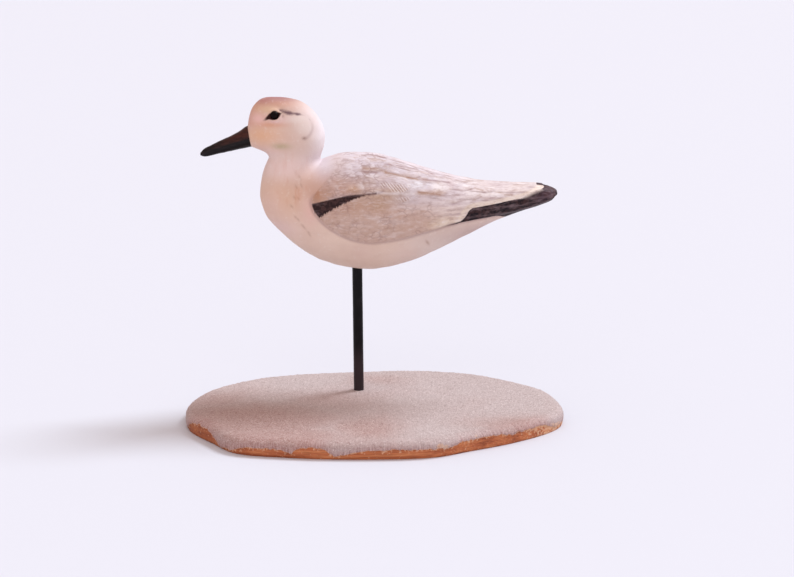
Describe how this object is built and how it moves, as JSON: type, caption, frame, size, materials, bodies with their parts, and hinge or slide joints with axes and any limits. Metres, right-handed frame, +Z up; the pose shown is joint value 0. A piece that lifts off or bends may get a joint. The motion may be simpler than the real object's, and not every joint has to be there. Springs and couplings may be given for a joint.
{
  "type": "carved shorebird on a stand",
  "caption": "Carved and painted sandpiper with folded wings, held by a plain upright rod over an oval board covered with sand.",
  "frame": {"origin": "middle of the board's footprint, on the surface that the board stands on", "axes": "+Z up along the rod, -X the way the bill points, -Y towards the viewer who sees the bird's left side"},
  "size_m": [0.2334, 0.1742, 0.1976],
  "materials": {
    "painted_wood": "matt paint in thin washes over carved wood",
    "black_bill": "satin black paint",
    "eye_glass": "polished dark glass",
    "black_rod": "satin black",
    "bare_wood": "orange-brown stain, sawn edge",
    "sand": "fine sand held in glue"
  },
  "bodies": {
    "root": {"bird_body": "painted_wood", "bill": "black_bill", "eye_left": "eye_glass", "eye_right": "eye_glass", "support_rod": "black_rod", "base_board": "bare_wood", "sand_layer": "sand"}
  },
  "joints": []
}
